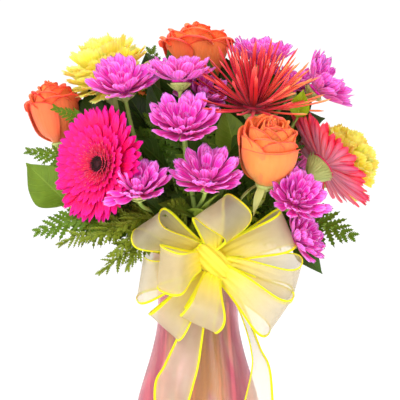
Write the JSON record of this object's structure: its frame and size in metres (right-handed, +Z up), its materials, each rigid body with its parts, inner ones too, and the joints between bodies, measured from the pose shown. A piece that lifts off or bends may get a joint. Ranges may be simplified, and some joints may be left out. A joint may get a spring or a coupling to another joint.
{
  "type": "mixed flower bouquet",
  "caption": "Mixed flower bouquet of roses, gerberas, carnations and chrysanthemums in a waisted glass vase with a sheer ribbon bow.",
  "frame": {"origin": "under the middle of the vase's foot, on the surface it stands on", "axes": "+Z up, the bouquet's front faces -Y, and +X is to the right seen from the front"},
  "size_m": [0.3261, 0.2466, 0.4007],
  "materials": {
    "glass": "rose-pink transparent glass, polished",
    "water": "clear still water",
    "ribbon": "sheer cream ribbon with bright yellow satin edges",
    "stem": "smooth fresh green",
    "gerbera_eye": "dark maroon with fine tufts",
    "hot_pink_petals": "soft matte petal",
    "rose_pink_petals": "soft matte petal, paler and striped beneath",
    "orange_petals": "velvety petal, yellower at the base",
    "yellow_petals": "soft matte petal",
    "magenta_petals": "soft satin petal",
    "red_petals": "soft satin petal, orange towards the tips",
    "fern_green": "dark satin leaf",
    "feathery_green": "matte leaf",
    "leaf_green": "waxy leaf"
  },
  "bodies": {
    "root": {"vase": "glass", "water": "water", "ribbon_band": "ribbon", "bow": "ribbon", "rose_left_stem": "stem", "rose_top_stem": "stem", "rose_front_stem": "stem", "rose_back_stem": "stem", "gerbera_left_stem": "stem", "gerbera_right_stem": "stem", "carnation_left_stem": "stem", "carnation_right_stem": "stem", "spider_mum_stem": "stem", "spray_front_stem": "stem", "spray_left_stem": "stem", "spray_top_stem": "stem", "spray_right_stem": "stem", "spray_back_stem": "stem", "rose_left": "orange_petals", "rose_top": "orange_petals", "rose_front": "orange_petals", "rose_back": "orange_petals", "gerbera_left_eye": "gerbera_eye", "gerbera_right_eye": "gerbera_eye", "gerbera_left": "hot_pink_petals", "gerbera_right": "rose_pink_petals", "carnation_left": "yellow_petals", "carnation_right": "yellow_petals", "spider_mum": "red_petals", "daisy_upper": "magenta_petals", "daisy_middle": "magenta_petals", "daisy_lower": "magenta_petals", "daisy_high_left": "magenta_petals", "daisy_low_left": "magenta_petals", "daisy_hidden": "magenta_petals", "daisy_high": "magenta_petals", "daisy_high_right": "magenta_petals", "daisy_far_right": "magenta_petals", "daisy_low_right": "magenta_petals", "daisy_lowest": "magenta_petals", "daisy_back_high": "magenta_petals", "daisy_back_right": "magenta_petals", "fern_left": "fern_green", "fern_low_left": "fern_green", "fern_over_rose": "fern_green", "fern_top": "fern_green", "fern_low_right": "fern_green", "fern_back_left": "fern_green", "fern_back_right": "fern_green", "fern_back": "fern_green", "cedar_left": "feathery_green", "cedar_front": "feathery_green", "cedar_right": "feathery_green", "leaves_left": "leaf_green", "leaves_centre": "leaf_green", "leaves_right": "leaf_green", "leaves_low_right": "leaf_green", "leaves_top": "leaf_green", "leaves_front": "leaf_green", "leaves_back": "leaf_green"}
  },
  "joints": []
}
